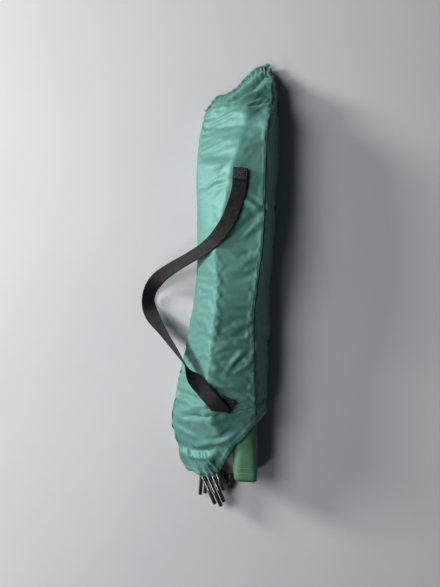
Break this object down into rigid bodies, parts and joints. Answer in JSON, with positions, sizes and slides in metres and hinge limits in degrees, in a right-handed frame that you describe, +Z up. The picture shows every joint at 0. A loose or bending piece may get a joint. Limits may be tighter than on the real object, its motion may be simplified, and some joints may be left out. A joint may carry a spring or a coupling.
{
  "type": "packed tent in carry bag",
  "caption": "Packed family tent in a drawstring carry bag with a webbing shoulder strap; black poles and a rolled flysheet stick out of the open mouth.",
  "frame": {"origin": "on the ground under the middle of the bag, on the flat pressed underside of the sleeve", "axes": "+Y along the bag towards its closed end, +X across the bag towards its side seam, +Z up"},
  "size_m": [0.2318, 0.7872, 0.1326],
  "materials": {
    "bag_fabric": "satin",
    "seam_piping": "matte",
    "strap_webbing": "matte",
    "flysheet_fabric": "satin",
    "inner_fabric": "matte",
    "tie_fabric": "matte",
    "pouch_fabric": "matte",
    "cord": "matte",
    "pole_paint": "gloss",
    "steel": "satin",
    "foot_rubber": "matte",
    "lock_plastic": "satin",
    "eyelet_metal": "satin"
  },
  "bodies": {
    "carry_bag": {"bag_shell": "bag_fabric", "side_seam_binding": "seam_piping", "end_seam_lip": "bag_fabric", "mouth_hem": "bag_fabric", "drawcord_in_hem": "cord", "strap_end_upper": "strap_webbing", "strap_end_lower": "strap_webbing", "inner_tent_roll": "inner_fabric", "inner_tent_tie_upper": "tie_fabric", "inner_tent_tie_lower": "tie_fabric", "peg_pouch": "pouch_fabric", "tent_peg_1": "steel", "tent_peg_2": "steel", "tent_peg_3": "steel", "tent_peg_4": "steel", "tent_peg_5": "steel", "tent_peg_6": "steel", "drawcord_tail_front": "cord", "drawcord_tail_rear": "cord", "drawcord_knot": "cord", "drawcord_eyelet": "eyelet_metal"},
    "carry_strap_loop": {"carry_strap": "strap_webbing"},
    "flysheet_bundle": {"flysheet_roll": "flysheet_fabric", "flysheet_tie_upper": "tie_fabric", "flysheet_tie_lower": "tie_fabric"},
    "pole_bundle": {"leg_pole_1": "pole_paint", "leg_pole_2": "pole_paint", "leg_pole_3": "pole_paint", "leg_pole_4": "pole_paint", "ridge_pole_1": "pole_paint", "ridge_pole_2": "pole_paint", "ridge_pole_3": "pole_paint", "leg_foot_1": "foot_rubber", "leg_foot_2": "foot_rubber", "leg_foot_3": "foot_rubber", "leg_foot_4": "foot_rubber", "ridge_spigot_1": "steel", "ridge_spigot_2": "steel", "pole_tie_upper": "tie_fabric", "pole_tie_lower": "tie_fabric"},
    "cord_lock_body": {"cord_lock_barrel": "lock_plastic", "cord_lock_spring": "steel"},
    "cord_lock_button": {"cord_lock_plunger": "lock_plastic"}
  },
  "joints": [
    {"name": "strap_swing", "type": "hinge", "parent": "carry_bag", "child": "carry_strap_loop", "pos_m": [0.0195, -0.008, 0.1195], "axis": [0, 1, 0], "range_deg": [0, 110]},
    {"name": "flysheet_slide", "type": "slide", "parent": "carry_bag", "child": "flysheet_bundle", "axis": [0.0599, -0.9982, 0], "range_m": [0, 0.6]},
    {"name": "pole_slide", "type": "slide", "parent": "carry_bag", "child": "pole_bundle", "axis": [0, -1, 0], "range_m": [0, 0.62]},
    {"name": "cord_lock_slide", "type": "slide", "parent": "carry_bag", "child": "cord_lock_body", "axis": [1, 0, 0], "range_m": [0, 0.006]},
    {"name": "cord_lock_press", "type": "slide", "parent": "cord_lock_body", "child": "cord_lock_button", "axis": [0, 1, 0], "range_m": [0, 0.0022], "stiffness_N_per_m": 900, "springref_m": -0.002, "deforming": ["cord_lock_spring"]}
  ]
}
